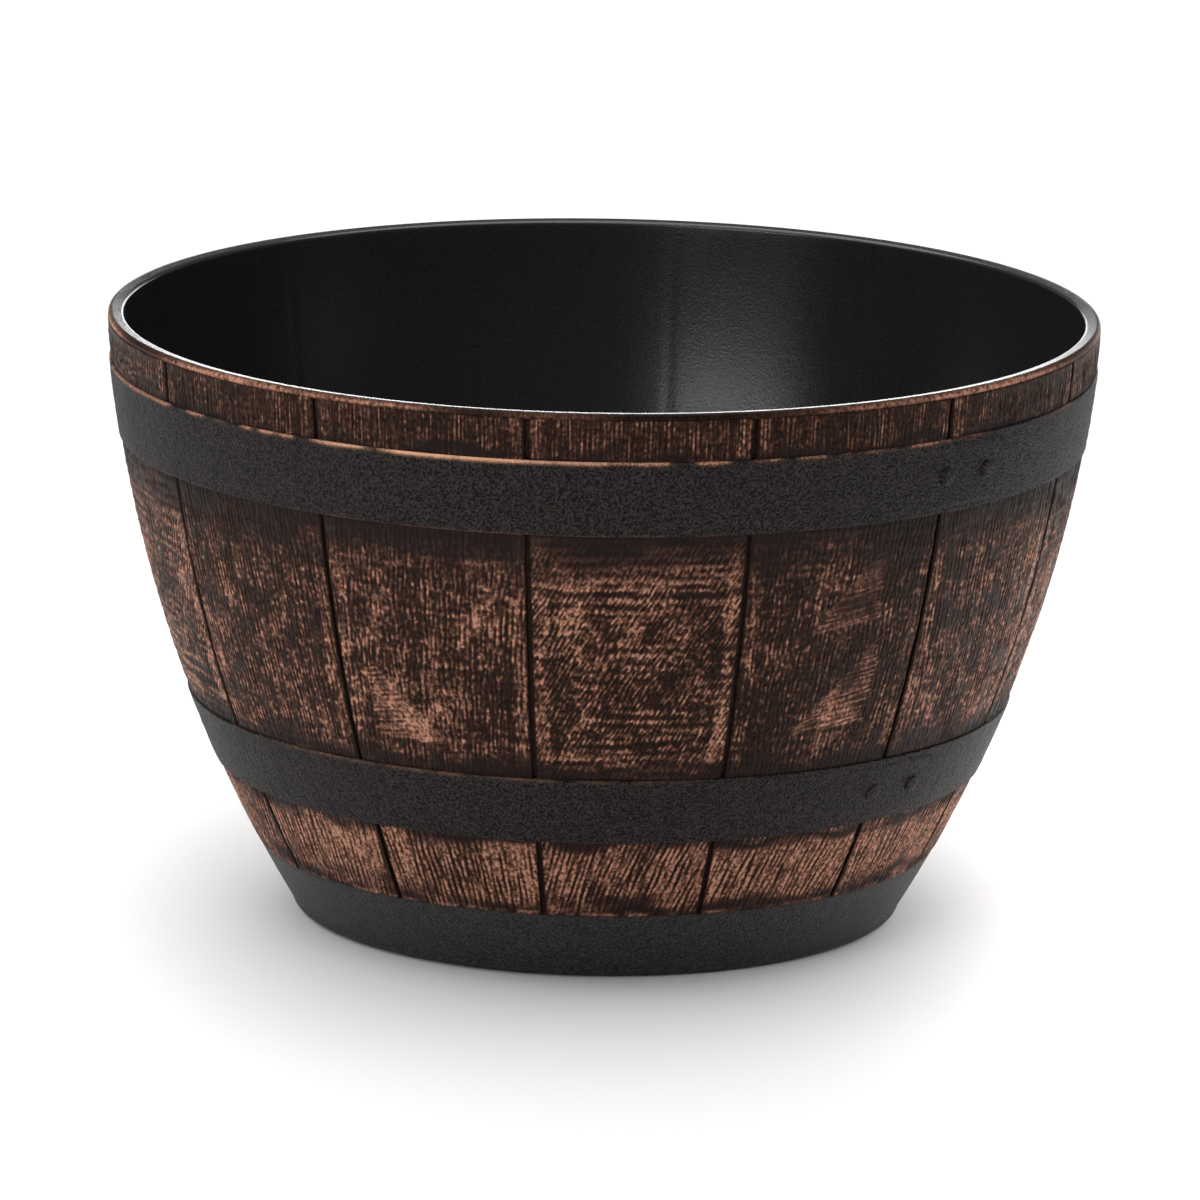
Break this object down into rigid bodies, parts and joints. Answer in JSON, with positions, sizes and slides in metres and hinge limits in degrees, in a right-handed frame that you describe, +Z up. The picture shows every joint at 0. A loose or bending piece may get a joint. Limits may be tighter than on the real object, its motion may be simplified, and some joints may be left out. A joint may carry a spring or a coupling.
{
  "type": "half barrel planter",
  "caption": "Round tapering planter moulded as a half barrel, with stave relief, two dark strap hoops with riveted laps and a lift-out drain plug.",
  "frame": {"origin": "middle of the foot, on the surface that the planter stands on", "axes": "+Z up along the planter's axis, -Y towards the front seen in the picture"},
  "size_m": [0.3558, 0.3558, 0.218],
  "materials": {
    "painted_resin": "black moulded resin with a copper-brown dry-brushed wood grain outside, bare black at the foot and inside",
    "black_resin": "charcoal black resin with a fine pebbled texture",
    "plug_rubber": "plain black rubber"
  },
  "bodies": {
    "planter": {"barrel_pot": "painted_resin", "upper_hoop": "black_resin", "lower_hoop": "black_resin", "hoop_rivets": "black_resin"},
    "plug": {"drain_plug": "plug_rubber"}
  },
  "joints": [
    {"name": "plug_lift", "type": "slide", "parent": "planter", "child": "plug", "axis": [0, 0, 1], "range_m": [0, 0.23]}
  ]
}
